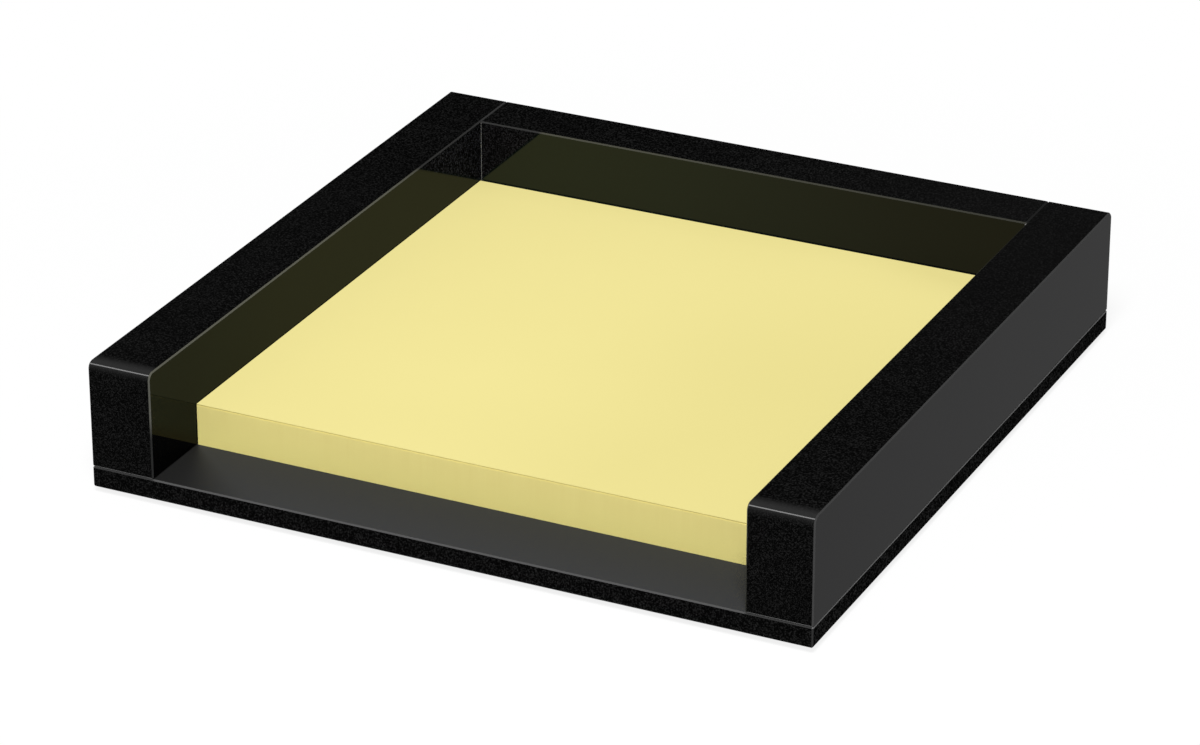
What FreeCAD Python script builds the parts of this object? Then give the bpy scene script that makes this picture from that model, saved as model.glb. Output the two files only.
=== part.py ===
import FreeCAD, Part
import math
import os

# Memo tray of cemented black acrylic sheet, open at the front, with a gummed block of square
# note paper lying in it.  Millimetres.  +Z is up, the open front faces -Y, +X is to the right.
# The origin is the centre of the tray's footprint, on the surface that the feet stand on.

# ---- note paper ------------------------------------------------------------------------------
note_width = 90.0           # square memo paper, side to side
note_depth = 90.0           # the same paper, front to back
pad_thickness = 6.5         # the whole pad as it lies, top sheet included
sheet_thickness = 0.1       # one sheet of 80 g paper
gum_film = 0.15             # padding gum brushed on the back edges of the sheets

# ---- clearances round the pad ----------------------------------------------------------------
pad_left_gap = 0.1          # the pad is pushed up to the left wall
pad_right_gap = 1.9         # what that leaves at the right wall
pad_back_gap = 0.2          # gum film to back wall
front_ledge = 12.65         # bare floor in front of the pad, for a fingertip

# ---- acrylic sheet ---------------------------------------------------------------------------
base_sheet = 3.2            # sheet that the base plate is cut from
wall_sheet = 10.0           # sheet that the three walls are cut from
wall_height = 16.5          # width of the strips that stand on the base plate
edge_break = 0.2            # bevel scraped along every sawn edge
top_round = 1.2             # rounding where a wall's top meets the tray's front or back

# ---- rubber feet -----------------------------------------------------------------------------
foot_diameter = 8.0
foot_height = 1.0
foot_rim_round = 0.4        # rounding of the rim that touches the table
foot_inset = 6.0            # rim of a foot to the edges of the base plate

# ---- sizes that follow -----------------------------------------------------------------------
tray_width = 2 * wall_sheet + pad_left_gap + note_width + pad_right_gap
tray_depth = front_ledge + note_depth + gum_film + pad_back_gap + wall_sheet
tray_left = -tray_width / 2
tray_right = tray_width / 2
tray_front = -tray_depth / 2
tray_back = tray_depth / 2

base_top = foot_height + base_sheet
wall_top = base_top + wall_height
back_wall_front = tray_back - wall_sheet

pad_left = tray_left + wall_sheet + pad_left_gap
pad_front = tray_front + front_ledge
pad_back = pad_front + note_depth
block_thickness = pad_thickness - sheet_thickness
block_top = base_top + block_thickness

SAME_PLACE = 1e-6           # two coordinates closer than this are the same


def slab(left, front, bottom, width, depth, thickness):
    """A flat rectangular piece: its outline in plan, pulled up by its thickness."""
    corners = [
        FreeCAD.Vector(left, front, bottom),
        FreeCAD.Vector(left + width, front, bottom),
        FreeCAD.Vector(left + width, front + depth, bottom),
        FreeCAD.Vector(left, front + depth, bottom),
    ]
    outline = Part.makePolygon(corners + corners[:1])
    return Part.Face(outline).extrude(FreeCAD.Vector(0, 0, thickness))


def quarter_arc(centre_y, centre_z, radius, start_degrees):
    """A quarter circle seen from the right-hand side, from start_degrees on, anticlockwise."""
    def on_circle(degrees):
        turn = math.radians(degrees)
        return FreeCAD.Vector(0, centre_y + radius * math.cos(turn), centre_z + radius * math.sin(turn))
    start = on_circle(start_degrees)
    middle = on_circle(start_degrees + 45)
    end = on_circle(start_degrees + 90)
    return Part.Arc(start, middle, end).toShape()


def straight(y_from, z_from, y_to, z_to):
    """A straight edge of a wall's outline, in the YZ plane."""
    return Part.LineSegment(FreeCAD.Vector(0, y_from, z_from), FreeCAD.Vector(0, y_to, z_to)).toShape()


def outline_prism(edges, left, thickness):
    """A wall: its closed side outline, moved to its left face and pulled across its thickness."""
    face = Part.Face(Part.Wire(edges))
    face.translate(FreeCAD.Vector(left, 0, 0))
    return face.extrude(FreeCAD.Vector(thickness, 0, 0))


def at_height(edge, height):
    """Whether the whole edge lies at one height."""
    return all(abs(vertex.Z - height) < SAME_PLACE for vertex in edge.Vertexes)


def around_an_end(edge):
    """Whether the edge lies in one of the two faces that look along X."""
    across = [vertex.X for vertex in edge.Vertexes]
    return max(across) - min(across) < SAME_PLACE


def break_wall_edges(wall):
    """Bevels the outline at both X faces and the bottom edges; the rounded tops stay smooth."""
    bottom = wall.BoundBox.ZMin
    sharp = [edge for edge in wall.Edges if around_an_end(edge) or at_height(edge, bottom)]
    return wall.makeChamfer(edge_break, sharp)


def base_plate():
    """The sheet that carries everything, sawn to size, with all of its edges bevelled."""
    plate = slab(tray_left, tray_front, foot_height, tray_width, tray_depth, base_sheet)
    return plate.makeChamfer(edge_break, plate.Edges)


def side_wall(left):
    """A full-depth strip on edge, its top rounded over at the tray's front and back."""
    outline = [
        straight(tray_front, base_top, tray_back, base_top),
        straight(tray_back, base_top, tray_back, wall_top - top_round),
        quarter_arc(tray_back - top_round, wall_top - top_round, top_round, 0),
        straight(tray_back - top_round, wall_top, tray_front + top_round, wall_top),
        quarter_arc(tray_front + top_round, wall_top - top_round, top_round, 90),
        straight(tray_front, wall_top - top_round, tray_front, base_top),
    ]
    return break_wall_edges(outline_prism(outline, left, wall_sheet))


def back_wall():
    """The strip between the two side walls, rounded over at the back only, flush with them."""
    outline = [
        straight(back_wall_front, base_top, tray_back, base_top),
        straight(tray_back, base_top, tray_back, wall_top - top_round),
        quarter_arc(tray_back - top_round, wall_top - top_round, top_round, 0),
        straight(tray_back - top_round, wall_top, back_wall_front, wall_top),
        straight(back_wall_front, wall_top, back_wall_front, base_top),
    ]
    blank = outline_prism(outline, tray_left + wall_sheet, tray_width - 2 * wall_sheet)
    inner_top = [edge for edge in blank.Edges if not around_an_end(edge) and faces_the_pad(edge)]
    bottom = [edge for edge in blank.Edges if at_height(edge, base_top)]
    ends = [edge for edge in blank.Edges if around_an_end(edge) and not at_height(edge, base_top)]
    return blank.makeChamfer(edge_break, inner_top + bottom + ends)


def faces_the_pad(edge):
    """Whether the edge is the back wall's top edge on the side of the note pad."""
    return at_height(edge, wall_top) and all(
        abs(vertex.Y - back_wall_front) < SAME_PLACE for vertex in edge.Vertexes)


def rubber_foot(centre_x, centre_y):
    """A stick-on disc, turned about its own axis, with a rounded rim on the table."""
    radius = foot_diameter / 2
    rim_middle = foot_rim_round * (1 - math.sqrt(0.5))
    rim = Part.Arc(
        FreeCAD.Vector(radius - foot_rim_round, 0, 0),
        FreeCAD.Vector(radius - rim_middle, 0, rim_middle),
        FreeCAD.Vector(radius, 0, foot_rim_round),
    ).toShape()
    section = [
        Part.LineSegment(FreeCAD.Vector(0, 0, 0), FreeCAD.Vector(radius - foot_rim_round, 0, 0)).toShape(),
        rim,
        Part.LineSegment(FreeCAD.Vector(radius, 0, foot_rim_round),
                         FreeCAD.Vector(radius, 0, foot_height)).toShape(),
        Part.LineSegment(FreeCAD.Vector(radius, 0, foot_height), FreeCAD.Vector(0, 0, foot_height)).toShape(),
        Part.LineSegment(FreeCAD.Vector(0, 0, foot_height), FreeCAD.Vector(0, 0, 0)).toShape(),
    ]
    foot = Part.Face(Part.Wire(section)).revolve(FreeCAD.Vector(0, 0, 0), FreeCAD.Vector(0, 0, 1), 360)
    foot.translate(FreeCAD.Vector(centre_x, centre_y, 0))
    return foot


def note_block():
    """All sheets of the pad but the free one on top, as the gum holds them together."""
    return slab(pad_left, pad_front, base_top, note_width, note_depth, block_thickness)


def gum_binding():
    """The dried film of padding gum on the back of the block."""
    return slab(pad_left, pad_back, base_top, note_width, gum_film, block_thickness)


def top_sheet():
    """The sheet that is written on next, lying free but for its gummed back edge."""
    return slab(pad_left, pad_front, block_top, note_width, note_depth, sheet_thickness)


def main():
    to_foot_centre = foot_inset + foot_diameter / 2
    foot_left = tray_left + to_foot_centre
    foot_right = tray_right - to_foot_centre
    foot_front = tray_front + to_foot_centre
    foot_back = tray_back - to_foot_centre
    pieces = {
        "base_plate": base_plate(),
        "left_wall": side_wall(tray_left),
        "right_wall": side_wall(tray_right - wall_sheet),
        "back_wall": back_wall(),
        "foot_front_left": rubber_foot(foot_left, foot_front),
        "foot_front_right": rubber_foot(foot_right, foot_front),
        "foot_back_left": rubber_foot(foot_left, foot_back),
        "foot_back_right": rubber_foot(foot_right, foot_back),
        "note_block": note_block(),
        "gum_binding": gum_binding(),
        "top_sheet": top_sheet(),
    }
    os.makedirs("parts", exist_ok=True)
    for node, shape in pieces.items():
        box = shape.BoundBox
        print(node, "valid" if shape.isValid() else "NOT VALID", "solids", len(shape.Solids),
              "volume %.3f" % shape.Volume,
              "box %.2f %.2f %.2f to %.2f %.2f %.2f" % (
                  box.XMin, box.YMin, box.ZMin, box.XMax, box.YMax, box.ZMax))
        shape.exportStep("parts/" + node + ".step")


main()
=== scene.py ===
"""Finishes, sheets, lamp and camera for a black acrylic memo tray with a block of yellow note paper."""

import math
import random

import bmesh
import bpy
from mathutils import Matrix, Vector


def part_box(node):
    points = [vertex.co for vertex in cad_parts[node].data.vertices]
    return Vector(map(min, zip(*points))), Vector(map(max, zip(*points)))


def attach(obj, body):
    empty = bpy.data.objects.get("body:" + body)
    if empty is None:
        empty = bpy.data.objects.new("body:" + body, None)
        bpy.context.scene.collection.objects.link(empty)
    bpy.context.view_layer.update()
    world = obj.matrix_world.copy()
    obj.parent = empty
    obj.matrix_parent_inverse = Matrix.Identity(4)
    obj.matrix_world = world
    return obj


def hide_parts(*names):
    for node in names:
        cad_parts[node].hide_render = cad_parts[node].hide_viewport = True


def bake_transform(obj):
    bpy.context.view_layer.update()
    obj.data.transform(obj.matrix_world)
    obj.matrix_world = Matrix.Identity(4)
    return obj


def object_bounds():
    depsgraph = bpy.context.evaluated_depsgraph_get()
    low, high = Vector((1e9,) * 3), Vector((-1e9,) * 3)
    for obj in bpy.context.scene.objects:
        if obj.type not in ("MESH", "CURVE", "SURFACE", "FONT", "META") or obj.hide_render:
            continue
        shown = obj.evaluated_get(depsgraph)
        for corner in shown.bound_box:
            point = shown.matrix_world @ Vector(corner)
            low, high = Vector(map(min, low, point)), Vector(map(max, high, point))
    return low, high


MM = 0.001

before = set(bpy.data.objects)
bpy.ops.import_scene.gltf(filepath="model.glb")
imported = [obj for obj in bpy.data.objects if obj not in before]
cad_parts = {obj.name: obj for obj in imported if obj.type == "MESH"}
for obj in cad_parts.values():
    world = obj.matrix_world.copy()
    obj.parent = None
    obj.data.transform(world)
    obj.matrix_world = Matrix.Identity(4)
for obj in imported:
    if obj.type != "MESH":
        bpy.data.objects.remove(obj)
cad_low, cad_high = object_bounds()


# ---- colours ---------------------------------------------------------------------------------

def paint(red, green, blue):
    """A colour given as 0 to 255 on screen, as the shader's linear colour."""
    def linear(level):
        """Undoes the sRGB curve of the screen."""
        level = level / 255
        return level / 12.92 if level <= 0.04045 else ((level + 0.055) / 1.055) ** 2.4
    return (linear(red), linear(green), linear(blue), 1.0)


def grey(level):
    """A neutral grey, 0 to 255 on screen."""
    return paint(level, level, level)


# ---- shader maths ----------------------------------------------------------------------------

class Wire:
    """A number inside a node tree. Sums on it add the Math nodes that work them out."""

    def __init__(self, wiring, socket):
        self.wiring = wiring
        self.socket = socket

    def maths(self, operation, *operands):
        sockets = dict(enumerate(operands))
        return self.wiring.node("ShaderNodeMath", {"operation": operation}, sockets)

    def __add__(self, other):
        return self.maths("ADD", self, other)

    __radd__ = __add__

    def __sub__(self, other):
        return self.maths("SUBTRACT", self, other)

    def __rsub__(self, other):
        return self.maths("SUBTRACT", other, self)

    def __mul__(self, other):
        return self.maths("MULTIPLY", self, other)

    __rmul__ = __mul__

    def __truediv__(self, other):
        return self.maths("DIVIDE", self, other)

    def __abs__(self):
        return self.maths("ABSOLUTE", self)

    def larger(self, other):
        return self.maths("MAXIMUM", self, other)

    def rise(self, start, full):
        """0 up to start, 1 from full on, and a smooth step between them; full may be below start."""
        settings = {"interpolation_type": "SMOOTHSTEP"}
        sockets = {"Value": self, "From Min": start, "From Max": full, "To Min": 0.0, "To Max": 1.0}
        return self.wiring.node("ShaderNodeMapRange", settings, sockets)


class Wiring:
    """The nodes of a material or a world, and the links between them."""

    def __init__(self, owner):
        owner.use_nodes = True
        self.nodes = owner.node_tree.nodes
        self.links = owner.node_tree.links

    def connect(self, socket, value):
        """Sets a socket, or links it if the value is a wire."""
        if isinstance(value, Wire):
            self.links.new(value.socket, socket)
        else:
            socket.default_value = value

    def node(self, kind, settings=None, sockets=None, output=0):
        """Adds a node: first its settings, then the values or wires of its sockets."""
        node = self.nodes.new(kind)
        for name, value in (settings or {}).items():
            setattr(node, name, value)
        for key, value in (sockets or {}).items():
            self.connect(node.inputs[key], value)
        return Wire(self, node.outputs[output])

    def looks(self):
        """1 where the camera looks straight at a surface, and 1 where it sees it in a mirror or glass."""
        straight = self.node("ShaderNodeLightPath", output="Is Camera Ray")
        mirrored = self.node("ShaderNodeLightPath", output="Is Glossy Ray")
        through = self.node("ShaderNodeLightPath", output="Is Transmission Ray")
        return straight, mirrored.larger(through)

    def place(self):
        """The point on the piece, in metres from the tray's own origin."""
        return self.node("ShaderNodeTexCoord", output="Object")

    def facing(self):
        """The way that the surface faces, as three numbers."""
        return self.split(self.node("ShaderNodeTexCoord", output="Normal"))

    def split(self, vector):
        separate = self.node("ShaderNodeSeparateXYZ", sockets={0: vector}).socket.node
        return [Wire(self, output) for output in separate.outputs]

    def scaled(self, vector, factors):
        return self.node("ShaderNodeVectorMath", {"operation": "MULTIPLY"}, {0: vector, 1: factors})

    def noise(self, vector, scale, detail=2.0, roughness=0.5):
        """Soft random values about 0.5; scale is in grains to the metre."""
        sockets = {"Vector": vector, "Scale": scale, "Detail": detail, "Roughness": roughness}
        return self.node("ShaderNodeTexNoise", sockets=sockets)

    def mixed(self, share, under, over):
        """The colour under, with over laid on it by share, through the Mix node's colour sockets."""
        sockets = {0: share, 6: under, 7: over}
        return self.node("ShaderNodeMix", {"data_type": "RGBA"}, sockets, output=2)

    def bump(self, height, strength, distance):
        sockets = {"Strength": strength, "Distance": distance, "Height": height}
        return self.node("ShaderNodeBump", sockets=sockets)


class Finish(Wiring):
    """A material under construction: a Principled surface and the nodes that feed it."""

    def __init__(self, name, **surface):
        self.material = bpy.data.materials.new(name)
        super().__init__(self.material)
        self.surface = self.nodes["Principled BSDF"]
        for socket, value in surface.items():
            self.feed(socket.replace("_", " "), value)

    def feed(self, socket, value):
        self.connect(self.surface.inputs[socket], value)


# ---- the tray's own lines --------------------------------------------------------------------

inner_low, inner_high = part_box("back_wall")     # the back wall fits between the side walls
tray_front = cad_low.y
tray_back = inner_low.y                         # the open tray ends here
tray_floor = inner_low.z
wall_top = cad_high.z
left_inside = inner_low.x
right_inside = inner_high.x
paper_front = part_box("note_block")[0].y
paper_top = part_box("top_sheet")[1].z


# ---- black acrylic: colours, grain and gloss -------------------------------------------------

ACRYLIC_INDEX = 1.49            # refractive index
SAWN_DARK = grey(4)             # pits of a sawn and sanded edge
SAWN_LIGHT = grey(36)           # its raised grains, on top of the side walls
BACK_SAWN_LIGHT = grey(39)      # on top of the back wall
END_SAWN_LIGHT = grey(34)       # on the edges that look forwards or back
SIDE_SAWN_LIGHT = grey(48)      # and on the base plate's side edges
SAWN_ROUGHNESS = 0.55
SIDE_GRAIN = 0.27 * MM          # size of one grain on the upper and side edges
END_GRAIN = 0.17 * MM           # on the walls' front ends, sanded with a finer paper
BASE_GRAIN = 0.23 * MM          # and on the base plate's front edge
GRAIN_LEVELS = (0.44, 0.76)     # noise up to the first is a pit, from the second on a full grain
PATCHES = 90.0                  # patches of weak and strong grain to the metre
PATCH_LEAST = 0.55              # strength of the grain in the weakest patch
PATCH_SPREAD = 0.9              # and how much is added to it in the strongest
WORN_GRAIN = 0.5                # how much of the grain goes where hands have worn the edge
WORN_GLEAM = 0.165              # and how light an even sheen they leave

POLISHED = paint(1, 1, 3)       # the cast face of the sheet, under its gloss
SMEARED = grey(3)               # and where fingers have smeared it
SMEARS = 30.0                   # smears to the metre
RIGHT_PAINTED_REFLECTION = paint(4, 16, 21)     # the pad's painted reflection on an inner face, bluer towards the right
PAINTED_REFLECTION_FADE = 0.75               # how much of the painted reflection fades out towards the right
PAINTED_REFLECTION_EVEN = 0.7                 # strength of the painted reflection beside the smears
PAINTED_REFLECTION_SMEARS = 0.6               # and how much is added to it in them
OUTER_GLOSS = 0.215             # share of clear gloss on the walls' faces that look outwards
HANDLED_LOSS = 0.33             # share of its gloss that an inner face loses where handled most
FRONT_LOSS = 0.18               # and towards the tray's front

SATIN = paint(49, 50, 52)       # the upper face of the base plate
SATIN_PAINTED_SHADE = grey(30)         # painted shade in the corner before the pad, beside the left wall
SATIN_GLOSS = 0.24              # its share of soft gloss

LIT_INNER_BEVEL = paint(90, 90, 81)    # painted highlight, tinted by the pad's yellow, on a wall's inner bevel before the back and above the pad
LIT_UPRIGHT_BEVEL = paint(84, 84, 78)  # the same at the wall's front end
RIGHTWARD_BEVEL = paint(56, 56, 51)   # the back wall's bevel towards the right, its painted light dimmer
CORNER_BEVEL = grey(50)         # an inner bevel over the corner that isn't buffed
OUTER_BEVEL = grey(62)          # an outer bevel as the scraper leaves it
LEFT_SEAM = grey(57)            # the grooves where the back wall meets the side walls
RIGHT_SEAM = grey(36)
# the base plate's scraped bevels, with painted edge highlights set lighter or darker for each facing
FRONT_BEVEL = grey(78)          # the base plate's front and back bevels between the side walls
COVERED_BEVEL = grey(52)        # and under the ends of the side walls
SIDE_BEVEL = grey(106)          # its bevels along the sides
UPRIGHT_BEVEL = grey(46)        # and at its corners
PAINTED_CROWN_HIGHLIGHT = grey(119)        # a painted highlight line on the crown of a rounded front end
PAINTED_END_GLOW = grey(45)          # a painted soft glow beside it
GLOW_ON_END = 0.5               # how strong that stretch is down the end, against 1 on top


# ---- black acrylic: where its finishes change ------------------------------------------------
# Each pair is for Wire.rise: where something starts to show, and where it shows in full.

FLAT_ENOUGH = (0.93, 0.98)      # how squarely a face must look along an axis to count as flat
TURNED = (0.3, 0.7)             # how far it must turn towards an axis to count as looking that way
LEANING = (0.3, 0.5)            # how far a bevel must lean towards an axis to count as facing it
UPRIGHT = (0.5, 0.3)            # how little it may lean upwards to count as upright
LEVEL = (0.3, 0.1)              # how little a surface may lean to the side on a rounded end
FACING_UP = (0.2, 0.8)          # from the foot of a rounding to its top
SLANTED = (0.84, 0.78)          # the largest share of a bevel's direction along one axis
CROWNED = (0.765, 0.735)        # the same for the narrow crown of a rounded end
INWARD = (4 * MM, -4 * MM)      # place times direction, for a face that looks back to the middle

WORN_RIGHT = (-20 * MM, 50 * MM)            # the tops are worn more and more towards the right
WORN_BACK = (-30 * MM, 45 * MM)             # and towards the back
WORN_FRONT_SHARE = 0.2                      # how worn they are at the front, against 1 at the back
WORN_LEFT_WALL = (-44 * MM, -50 * MM)       # the left wall is worn a little as well
WORN_LEFT_STRETCH = (30 * MM, 10 * MM)      # except at its back
WORN_LEFT_SHARE = 0.4
RIGHTWARD = (-40 * MM, 46 * MM)               # the inside is handled more, and its painted reflection and bevels change, towards the right
DULL_FRONT = (-10 * MM, -55 * MM)           # and dulls towards the front
END_GLOW_BACK = (tray_front + 3.2 * MM, tray_front + 0.9 * MM)    # the painted glow along a wall's top
END_GLOW_UP = (wall_top - 1.8 * MM, wall_top + 0.5 * MM)          # and down its front end
ROUNDED = (tray_front + 2.0 * MM, tray_front + 1.5 * MM)        # the rounding between the two
MIRROR_SLOPE = 0.545            # how steeply the mirrored pad's lower border climbs forwards
MIRROR_FADE = (0, 3 * MM)       # upwards from that border
BACK_CORNER_SLOPE = 0.94        # how steeply the unbuffed corner's border climbs along the back wall
LEFT_CORNER_SLOPE = 0.473       # and along the left wall
CORNER_BORDER = (-0.5 * MM, 0.5 * MM)
LIT_FORWARDS = (tray_back - 4 * MM, tray_back - 34 * MM)     # bevels take painted light before the back
LIT_UPWARDS = (tray_floor + 6 * MM, tray_floor + 10 * MM)    # and above the pad
LEFT_TO_RIGHT = (-MM, MM)
SEAM_LENGTH = (tray_back + 0.3 * MM, tray_back + 0.6 * MM)
SEAM_WIDTH = (right_inside + 3 * MM, right_inside + 1 * MM)
UNDER_WALL = (right_inside - 0.3 * MM, right_inside + 0.3 * MM)
DIM_SPREAD = (1.4, 0.2)         # distance from the left wall, as a share of that from the pad's front
LEAST_DISTANCE = 0.01 * MM      # keeps that share from dividing by nothing


def front_cut(facing):
    """1 on an edge of the sheet that looks forwards or back, 0 on its upper and side edges."""
    return abs(facing[1]).rise(*TURNED)


def worn_edge(across, along):
    """How far hands have worn the walls: most at the back right, a little at the left."""
    right = across.rise(*WORN_RIGHT) * (WORN_FRONT_SHARE + (1 - WORN_FRONT_SHARE) * along.rise(*WORN_BACK))
    left = WORN_LEFT_SHARE * across.rise(*WORN_LEFT_WALL) * along.rise(*WORN_LEFT_STRETCH)
    return right + left


def sparkle(finish, place, facing, front_grain):
    """Fine grains in uneven patches, as sanding leaves the cut of the sheet: 0 dark, 1 light."""
    across, along = finish.split(place)[:2]
    coarse = finish.noise(place, 1 / SIDE_GRAIN, detail=2.0, roughness=0.6)
    fine = finish.noise(place, 1 / front_grain, detail=2.0, roughness=0.6)
    grains = coarse + front_cut(facing) * (fine - coarse)
    patches = finish.noise(place, PATCHES, detail=2.0)
    worn = worn_edge(across, along) * abs(facing[2])
    seen = grains.rise(*GRAIN_LEVELS) * (PATCH_LEAST + PATCH_SPREAD * patches)
    return seen * (1 - WORN_GRAIN * worn) + WORN_GLEAM * worn


def largest_share(facing):
    """1 where a surface looks squarely along an axis, and less the more it slants."""
    across, along, up = (abs(share) for share in facing)
    return across.larger(along).larger(up)


def inward(place_share, facing_share):
    """1 where a face looks back towards the middle of the tray along one axis, else 0."""
    return (place_share * facing_share).rise(*INWARD)


def wall_acrylic(name, thin_axis, grain_light, gloss, painted_reflection, scuffs, bevel_behind, joint_line=None):
    """Acrylic on edge: glossy sheet faces along thin_axis, sanded cuts on the rest.

    The face that looks at the pad has a share of gloss of its own, a painted reflection of the pad and
    grains of the colour scuffs in the corner. Its bevels take painted light before the back and above the
    pad.
    """
    finish = Finish(name, Specular_IOR_Level=0.0, Coat_Roughness=0.015, Coat_IOR=ACRYLIC_INDEX)
    place = finish.place()
    facing = finish.facing()
    spot = finish.split(place)
    grains = sparkle(finish, place, facing, END_GRAIN)
    sheet_face = abs(facing[thin_axis]).rise(*FLAT_ENOUGH)
    inner = inward(spot[thin_axis], facing[thin_axis])
    corner = unbuffed_corner(spot)
    unbuffed = inner * corner

    smears = finish.noise(place, SMEARS, detail=3.0)
    rightward = spot[0].rise(*RIGHTWARD)
    dulled = HANDLED_LOSS * rightward + FRONT_LOSS * spot[1].rise(*DULL_FRONT)
    glossy = finish.mixed(smears, POLISHED, SMEARED)
    # painted reflection of the pad where the face mirrors it, patchier in the smears
    painted_reflection_share = inner * mirrors_pad(spot) * (1 - PAINTED_REFLECTION_FADE * rightward) * (PAINTED_REFLECTION_EVEN + PAINTED_REFLECTION_SMEARS * smears)
    glossy = finish.mixed(painted_reflection_share, glossy, finish.mixed(rightward, painted_reflection, RIGHT_PAINTED_REFLECTION))
    glossy = finish.mixed(unbuffed, glossy, finish.mixed(grains, SAWN_DARK, scuffs))
    grain_light = finish.mixed(front_cut(facing), grain_light, END_SAWN_LIGHT)
    sawn = finish.mixed(grains, SAWN_DARK, grain_light)
    # painted glow at a wall's rounded front end
    sawn = finish.mixed(painted_end_glow(spot, facing), sawn, PAINTED_END_GLOW)
    flat = finish.mixed(sheet_face, sawn, glossy)

    # painted highlight on the inner bevels before the back and above the pad
    lit_bevel = finish.mixed(abs(facing[2]).rise(*LEANING), LIT_UPRIGHT_BEVEL, LIT_INNER_BEVEL)
    bevel_behind = finish.mixed(rightward, bevel_behind, RIGHTWARD_BEVEL)
    inner_edge = finish.mixed(corner, finish.mixed(lit_bevel_share(spot), bevel_behind, lit_bevel), CORNER_BEVEL)
    edge = finish.mixed(inner, OUTER_BEVEL, inner_edge)
    seam_colour = finish.mixed(spot[0].rise(*LEFT_TO_RIGHT), LEFT_SEAM, RIGHT_SEAM)
    edge = finish.mixed(seam(spot, facing), edge, seam_colour)
    # a glue line on the back wall's upright bevels, painted light in its shaded inner corner
    if joint_line:
        edge = finish.mixed(abs(facing[2]).rise(*UPRIGHT), edge, joint_line)

    squareness = largest_share(facing)
    rounded = front_round(spot, facing)
    colour = finish.mixed(squareness.rise(*SLANTED) * (1 - rounded), flat, edge)
    # painted highlight on the crown of the rounded front end
    colour = finish.mixed(squareness.rise(*CROWNED) * rounded, colour, PAINTED_CROWN_HIGHLIGHT)
    finish.feed("Base Color", colour)
    finish.feed("Roughness", SAWN_ROUGHNESS)
    coat = OUTER_GLOSS + inner * (gloss * (1 - dulled) - OUTER_GLOSS)
    finish.feed("Coat Weight", sheet_face * coat * (1 - unbuffed))
    return finish.material


def painted_end_glow(spot, facing):
    """Painted glow: 1 at a wall's rounded front end, fading back along its top and, fainter, down its end.
    """
    along, up = spot[1:]
    by_height = GLOW_ON_END + (1 - GLOW_ON_END) * facing[2].rise(*FACING_UP)
    return along.rise(*END_GLOW_BACK) * up.rise(*END_GLOW_UP) * by_height


def front_round(spot, facing):
    """1 on the rounded upper edge at a wall's front end, 0 on its straight bevels."""
    return spot[1].rise(*ROUNDED) * abs(facing[0]).rise(*LEVEL)


def mirrors_pad(spot):
    """1 where the pad's reflection is painted on an inner face, fading towards the bare base plate before
    it.
    """
    along, up = spot[1:]
    lowest = tray_floor + MIRROR_SLOPE * (paper_front - along)
    return (up - lowest).rise(*MIRROR_FADE)


def unbuffed_corner(spot):
    """1 high in the inner corner at the back left, where a buffing wheel can't reach, else 0."""
    across, along, up = spot
    height = up - paper_top
    beside = (height - BACK_CORNER_SLOPE * (across - left_inside)).rise(*CORNER_BORDER)
    behind = (height - LEFT_CORNER_SLOPE * (tray_back - along)).rise(*CORNER_BORDER)
    return beside * behind


def lit_bevel_share(spot):
    """1 on the edges that take painted light, 0 low down and behind the pad."""
    along, up = spot[1:]
    return along.rise(*LIT_FORWARDS) * up.rise(*LIT_UPWARDS)


def seam(spot, facing):
    """1 in the grooves on top between the back wall and the side walls, else 0."""
    across, along = spot[:2]
    return along.rise(*SEAM_LENGTH) * abs(across).rise(*SEAM_WIDTH) * abs(facing[0]).rise(*LEANING)


def dim_corner(across, along):
    """1 in the painted shade between the left wall and the pad's front left corner on the base plate, else
    0.
    """
    before_pad = (paper_front - along).larger(LEAST_DISTANCE)
    return ((across - left_inside) / before_pad).rise(*DIM_SPREAD)


def base_acrylic():
    """The base plate: a satin upper face, sanded cuts all round."""
    finish = Finish("base_acrylic", Specular_IOR_Level=0.0, Coat_Roughness=0.45, Coat_IOR=ACRYLIC_INDEX)
    place = finish.place()
    facing = finish.facing()
    across, along = finish.split(place)[:2]
    sheet_face = abs(facing[2]).rise(*FLAT_ENOUGH)
    grain_light = finish.mixed(abs(facing[0]).rise(*TURNED), END_SAWN_LIGHT, SIDE_SAWN_LIGHT)
    sawn = finish.mixed(sparkle(finish, place, facing, BASE_GRAIN), SAWN_DARK, grain_light)
    # painted shade on the satin in the wedge beside the left wall
    satin = finish.mixed(dim_corner(across, along), SATIN, SATIN_PAINTED_SHADE)
    colour = finish.mixed(sheet_face, sawn, satin)
    front_edge = finish.mixed(abs(across).rise(*UNDER_WALL), FRONT_BEVEL, COVERED_BEVEL)
    long_edge = finish.mixed(abs(facing[0]).rise(*LEANING), front_edge, SIDE_BEVEL)
    edge = finish.mixed(abs(facing[2]).rise(*LEANING), UPRIGHT_BEVEL, long_edge)
    finish.feed("Base Color", finish.mixed(largest_share(facing).rise(*SLANTED), colour, edge))
    finish.feed("Roughness", SAWN_ROUGHNESS)
    finish.feed("Coat Weight", SATIN_GLOSS * sheet_face)
    return finish.material


# ---- rubber, gum and paper -------------------------------------------------------------------

RUBBER_DARK = grey(22)
RUBBER_LIGHT = grey(38)
RUBBER_GRAIN = 2500.0           # to the metre
RUBBER_ROUGHNESS = 0.62
RUBBER_ROUGHER = 0.2            # how much rougher its grains are
GUM_THIN = paint(222, 208, 150)
GUM_THICK = paint(242, 233, 200)
GUM_STROKES = (60.0, 60.0, 1400.0)      # to the metre, along each axis; long from side to side
GUM_ROUGHNESS = 0.28
GUM_ROUGHER = 0.3               # how much rougher its thick strokes are


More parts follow.
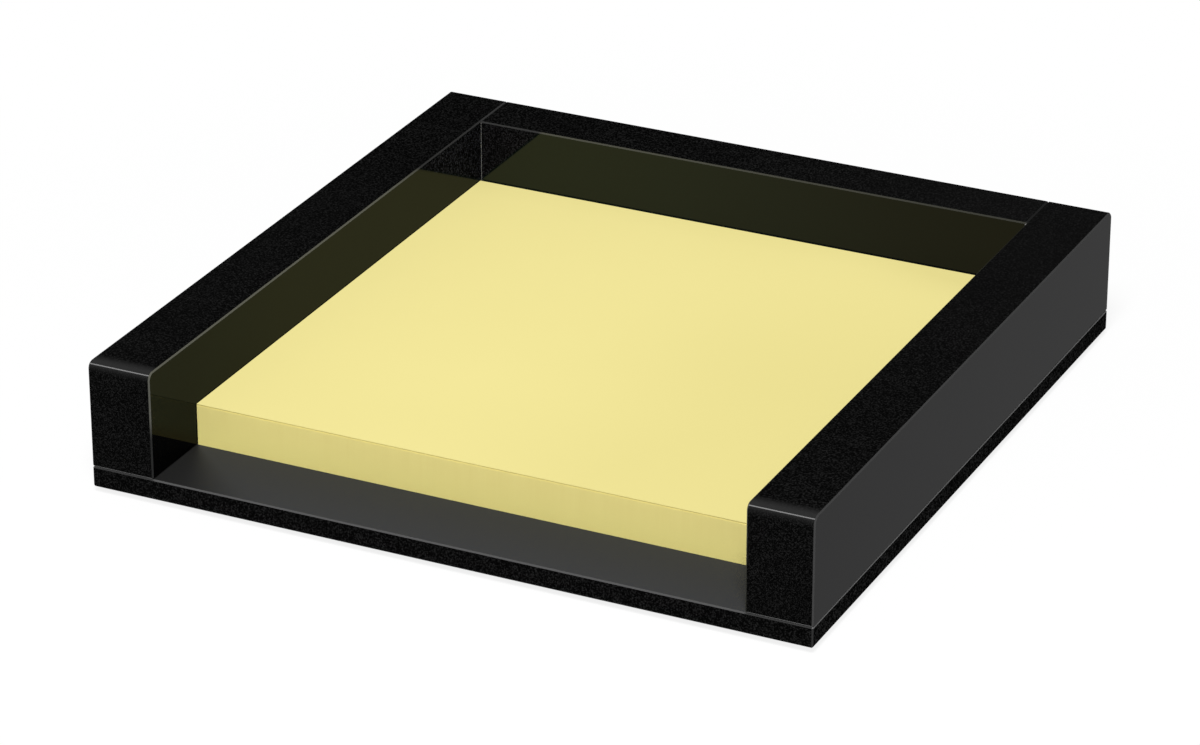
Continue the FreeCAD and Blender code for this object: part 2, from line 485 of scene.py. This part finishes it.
def foot_rubber():
    """Dull moulded rubber with a faint grain."""
    finish = Finish("foot_rubber", Specular_IOR_Level=0.35)
    place = finish.place()
    grain = finish.noise(place, RUBBER_GRAIN, detail=3.0)
    finish.feed("Base Color", finish.mixed(grain, RUBBER_DARK, RUBBER_LIGHT))
    finish.feed("Roughness", RUBBER_ROUGHNESS + RUBBER_ROUGHER * grain)
    finish.feed("Normal", finish.bump(grain, strength=0.3, distance=0.05 * MM))
    return finish.material


def dried_gum():
    """A brushed film of padding gum, thicker in some strokes than in others."""
    finish = Finish("dried_gum", Specular_IOR_Level=0.5)
    place = finish.place()
    strokes = finish.noise(finish.scaled(place, GUM_STROKES), 1.0, detail=4.0)
    finish.feed("Base Color", finish.mixed(strokes, GUM_THIN, GUM_THICK))
    finish.feed("Roughness", GUM_ROUGHNESS + GUM_ROUGHER * strokes)
    finish.feed("Normal", finish.bump(strokes, strength=0.4, distance=0.05 * MM))
    return finish.material


PAPER = paint(242, 230, 154)
PAPER_SHADE = paint(238, 226, 149)      # in the faint clouds of the sheet
PAPER_PAINTED_SHADE = paint(233, 221, 145)    # painted shade, where the sheet is a little dim
PAPER_CLOUDS = 60.0                     # to the metre
PAPER_FELT = 4500.0
SHADED_RIGHT = (-15 * MM, 30 * MM)     # painted shade more and more towards the right
SHADED_FORWARDS = (50 * MM, -5 * MM)   # and towards the front
FRONT_RIM = (-15 * MM, -42 * MM)
FRONT_RIM_SHARE = 0.25
BACK_RIM = (40 * MM, 47 * MM)
BACK_RIM_SHARE = 0.4
DIM_RIGHT = (18 * MM, 40 * MM)          # painted shade in the corner at the back right, beside both walls
DIM_BACK = (34 * MM, 47 * MM)
DIM_SHARE = 1.2


def note_paper():
    """Uncoated paper: matte, with a barely seen cloudiness and felt."""
    finish = Finish("note_paper", Specular_IOR_Level=0.12, Roughness=0.85)
    place = finish.place()
    cloud = finish.noise(place, PAPER_CLOUDS, detail=3.0)
    felt = finish.noise(place, PAPER_FELT, detail=3.0, roughness=0.65)
    across, along = finish.split(place)[:2]
    # painted shade towards the right front, along the front and back rims and in the back right corner
    painted_shade = across.rise(*SHADED_RIGHT) * along.rise(*SHADED_FORWARDS)
    painted_shade = painted_shade + FRONT_RIM_SHARE * along.rise(*FRONT_RIM) + BACK_RIM_SHARE * along.rise(*BACK_RIM)
    painted_shade = painted_shade + DIM_SHARE * across.rise(*DIM_RIGHT) * along.rise(*DIM_BACK)
    fresh = finish.mixed(0.5 * cloud + 0.5 * felt, PAPER_SHADE, PAPER)
    finish.feed("Base Color", finish.mixed(painted_shade, fresh, PAPER_PAINTED_SHADE))
    finish.feed("Normal", finish.bump(felt, strength=0.15, distance=0.02 * MM))
    return finish.material


PAPER_CUT = paint(232, 219, 141)
PAPER_CUT_SHADE = paint(229, 215, 137)
PAPER_CUT_PAINTED_LIGHT = paint(249, 237, 149)  # painted light, low down and at the left, where the pad's side lies in shade
CUT_STREAKS = (900.0, 900.0, 12.0)      # to the metre, along each axis
CUT_LAYERS = (25.0, 25.0, 9000.0)
STREAK_LEVELS = (0.3, 0.7)
STREAK_SHARE = 0.65                     # how much the streaks count, against the layers
LIGHT_LEFT = (-15 * MM, -46 * MM)
LIGHT_LEFT_SHARE = 0.25
LIGHT_LOW_SHARE = 0.8


def cut_paper():
    """The guillotined side of the pad, with the blade's faint upright streaks."""
    finish = Finish("cut_paper", Specular_IOR_Level=0.08, Roughness=0.9)
    place = finish.place()
    streaks = finish.noise(finish.scaled(place, CUT_STREAKS), 1.0, detail=3.0, roughness=0.6)
    layers = finish.noise(finish.scaled(place, CUT_LAYERS), 1.0, detail=1.0)
    spot = finish.split(place)
    low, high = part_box("note_block")
    marks = STREAK_SHARE * streaks.rise(*STREAK_LEVELS) + (1 - STREAK_SHARE) * layers
    # fresh is painted light: lighter low down and at the left, where the pad's side lies in shade
    fresh = LIGHT_LEFT_SHARE * spot[0].rise(*LIGHT_LEFT) + LIGHT_LOW_SHARE * spot[2].rise(high.z, low.z)
    streaked = finish.mixed(marks, PAPER_CUT_SHADE, PAPER_CUT)
    finish.feed("Base Color", finish.mixed(fresh, streaked, PAPER_CUT_PAINTED_LIGHT))
    finish.feed("Normal", finish.bump(layers, strength=0.25, distance=0.02 * MM))
    return finish.material


# ---- pieces ----------------------------------------------------------------------------------

def new_piece(name, mesh_builder, *materials):
    """Makes an object from a bmesh and gives it its materials."""
    mesh = bpy.data.meshes.new(name)
    mesh_builder.normal_update()
    mesh_builder.to_mesh(mesh)
    mesh_builder.free()
    for material in materials:
        mesh.materials.append(material)
    piece = bpy.data.objects.new(name, mesh)
    bpy.context.scene.collection.objects.link(piece)
    return piece


def add_slab(builder, low, high):
    """Adds a closed rectangular slab; its sides take the second material."""
    corners = [builder.verts.new((x, y, z)) for z in (low.z, high.z) for y in (low.y, high.y)
               for x in (low.x, high.x)]
    flat = ((0, 2, 3, 1), (4, 5, 7, 6))
    upright = ((0, 1, 5, 4), (1, 3, 7, 5), (3, 2, 6, 7), (2, 0, 4, 6))
    for loop in flat + upright:
        face = builder.faces.new([corners[corner] for corner in loop])
        face.material_index = 0 if loop in flat else 1


SHEET = 0.1 * MM                # pitch of the sheets in the pad
SHEET_GAP = 0.006 * MM          # air between two sheets
JOG = 0.012 * MM                # how far a sheet may lie out of line with its neighbours
JOG_SEED = 7
SLIPPED_SHEETS = 2              # sheets under the free one that lie back from its edge
SLIPPED = 0.08 * MM             # and how far


def stacked_sheets(paper, cut):
    """The glued sheets of the pad, one slab each, jogged together but not quite level."""
    low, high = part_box("note_block")
    count = round((high.z - low.z) / SHEET)
    draw = random.Random(JOG_SEED)
    builder = bmesh.new()
    for number in range(count):
        jog = Vector((draw.uniform(-JOG, JOG), draw.uniform(-JOG, 0), 0))
        front = low.y + (SLIPPED if number >= count - SLIPPED_SHEETS else 0)
        bottom = low.z + number * SHEET
        top = bottom + SHEET - (SHEET_GAP if number < count - 1 else 0)
        add_slab(builder, Vector((low.x, front, bottom)) + jog, Vector((high.x, high.y, top)) + jog)
    piece = new_piece("glued_sheets", builder, paper, cut)
    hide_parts("note_block")
    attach(piece, "pad")


PEEL_LENGTH = 5 * MM            # the stretch beside the gum over which a lifted sheet bends
COLUMNS = 12                    # fields of the free sheet from side to side
FLAT_ROWS = 12                  # from its front to that stretch
BENT_ROWS = 28                  # and in it


def free_sheet(paper, cut):
    """The top sheet, fine enough to bend beside the gum when it is lifted."""
    low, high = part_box("top_sheet")
    builder = bmesh.new()
    rows = bent_rows(low.y, high.y)
    columns = [low.x + (high.x - low.x) * step / COLUMNS for step in range(COLUMNS + 1)]
    grid = {}
    for level, z in enumerate((low.z, high.z)):
        for i, y in enumerate(rows):
            for j, x in enumerate(columns):
                grid[level, i, j] = builder.verts.new((x, y, z))
    last_row = len(rows) - 1
    last_column = len(columns) - 1
    for i in range(last_row):
        for j in range(last_column):
            ring = ((i, j), (i, j + 1), (i + 1, j + 1), (i + 1, j))
            builder.faces.new([grid[1, *corner] for corner in ring])
            builder.faces.new([grid[0, *corner] for corner in reversed(ring)])
    rim = [(0, j) for j in range(last_column)] + [(i, last_column) for i in range(last_row)]
    rim += [(last_row, j) for j in range(last_column, 0, -1)] + [(i, 0) for i in range(last_row, 0, -1)]
    for here, there in zip(rim, rim[1:] + rim[:1]):
        side = builder.faces.new([grid[0, *here], grid[0, *there], grid[1, *there], grid[1, *here]])
        side.material_index = 1
    piece = new_piece("free_top_sheet", builder, paper, cut)
    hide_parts("top_sheet")
    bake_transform(piece)


def bent_rows(front, back):
    """Rows across the sheet: wide ones on its flat part, narrow ones where it bends."""
    bend = back - PEEL_LENGTH
    flat = [front + (bend - front) * step / FLAT_ROWS for step in range(FLAT_ROWS)]
    return flat + [bend + PEEL_LENGTH * step / BENT_ROWS for step in range(BENT_ROWS + 1)]


def finish_cad_nodes():
    """Gives every piece of the tray that stays as built its own finish."""
    # the side wall's corner grains are painted lighter than the back wall's, as less light reaches them
    side_wall = wall_acrylic(
        "side_wall_acrylic", thin_axis=0, grain_light=SAWN_LIGHT, gloss=0.225,
        painted_reflection=paint(8, 18, 15), scuffs=paint(56, 58, 69), bevel_behind=grey(39))
    # its joint_line colour is a glue line painted light in the shaded inner corner
    back_wall = wall_acrylic(
        "back_wall_acrylic", thin_axis=1, grain_light=BACK_SAWN_LIGHT, gloss=0.55,
        painted_reflection=paint(4, 16, 12), scuffs=paint(42, 42, 46), bevel_behind=paint(71, 71, 63), joint_line=grey(158))
    finishes = {
        "left_wall": side_wall,
        "right_wall": side_wall,
        "back_wall": back_wall,
        "base_plate": base_acrylic(),
        "gum_binding": dried_gum(),
    }
    rubber = foot_rubber()
    for node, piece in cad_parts.items():
        finish = rubber if node.startswith("foot_") else finishes.get(node)
        if finish:
            piece.data.materials[0] = finish


# ---- studio ----------------------------------------------------------------------------------

FLOOR_GLOW = 0.85               # how much of the table's white is its own where the tray's shadow falls
SHADOW_REACH = (80 * MM, 160 * MM)      # outwards from the first of these, more of it is, up to all of it
DAYLIGHT = 0.12                 # how strongly the white surroundings light the tray
HALF_TABLE = 3.0                # metres from the tray to the table's edge


def white_floor():
    """A pale table that keeps the tray's shadow and reads as plain white around it."""
    finish = Finish("white_table", Base_Color=(0.99, 0.99, 0.99, 1), Roughness=1.0, Specular_IOR_Level=0.0)
    straight, mirrored = finish.looks()
    lit = Wire(finish, finish.surface.outputs[0])
    glow = finish.node("ShaderNodeEmission", sockets={"Color": (1, 1, 1, 1), "Strength": 1.0})
    length = {"operation": "LENGTH"}
    distance = finish.node("ShaderNodeVectorMath", length, {0: finish.place()}, output="Value")
    own = FLOOR_GLOW + (1 - FLOOR_GLOW) * distance.rise(*SHADOW_REACH)
    white = finish.node("ShaderNodeMixShader", sockets={0: own * straight + mirrored, 1: lit, 2: glow})
    finish.connect(finish.nodes["Material Output"].inputs["Surface"], white)
    builder = bmesh.new()
    bmesh.ops.create_grid(builder, x_segments=1, y_segments=1, size=HALF_TABLE)
    new_piece("white_table", builder, finish.material)


def white_surroundings():
    """A world that is plain white to look at and to mirror, and lights more gently than that."""
    world = bpy.data.worlds.new("studio")
    bpy.context.scene.world = world
    wiring = Wiring(world)
    straight, mirrored = wiring.looks()
    sky = wiring.nodes["Background"].inputs
    wiring.connect(sky["Color"], (1, 1, 1, 1))
    wiring.connect(sky["Strength"], DAYLIGHT + (1 - DAYLIGHT) * straight.larger(mirrored))


def soft_box(name, at, size, watts):
    """A square lamp that looks at the tray."""
    lamp = bpy.data.lights.new(name, "AREA")
    lamp.shape = "SQUARE"
    lamp.size = size
    lamp.energy = watts
    holder = bpy.data.objects.new(name, lamp)
    holder.location = at
    holder.rotation_euler = (-Vector(at)).to_track_quat("-Z", "Y").to_euler()
    bpy.context.scene.collection.objects.link(holder)


VIEW_TURN = math.radians(25.63)         # the camera stands this far to the right of the front
VIEW_HEIGHT = math.radians(25.46)       # and this high above the table's plane
VIEW_DISTANCE = 737.6 * MM
VIEW_TARGET = Vector((-7.04, 8.96, 1.0)) * MM
LENS_MM = 147.5
SENSOR_MM = 36.0
NEAREST_SEEN = 0.01                     # metres
FARTHEST_SEEN = 20.0


def camera():
    """A long lens from the front right, looking down into the tray."""
    data = bpy.data.cameras.new("camera")
    data.lens = LENS_MM
    data.sensor_width = SENSOR_MM
    data.clip_start = NEAREST_SEEN
    data.clip_end = FARTHEST_SEEN
    eye = bpy.data.objects.new("camera", data)
    flat = math.cos(VIEW_HEIGHT)
    back = Vector((math.sin(VIEW_TURN) * flat, -math.cos(VIEW_TURN) * flat, math.sin(VIEW_HEIGHT)))
    eye.location = VIEW_TARGET + back * VIEW_DISTANCE
    eye.rotation_euler = (-back).to_track_quat("-Z", "Y").to_euler()
    bpy.context.scene.collection.objects.link(eye)
    bpy.context.scene.camera = eye


def build():
    paper = note_paper()
    cut = cut_paper()
    stacked_sheets(paper, cut)
    free_sheet(paper, cut)
    finish_cad_nodes()
    white_floor()
    white_surroundings()
    soft_box("front_soft_box", at=(0.40, -1.15, 1.80), size=0.8, watts=53.2)
    camera()
    bpy.context.scene.view_settings.view_transform = "Standard"


build()
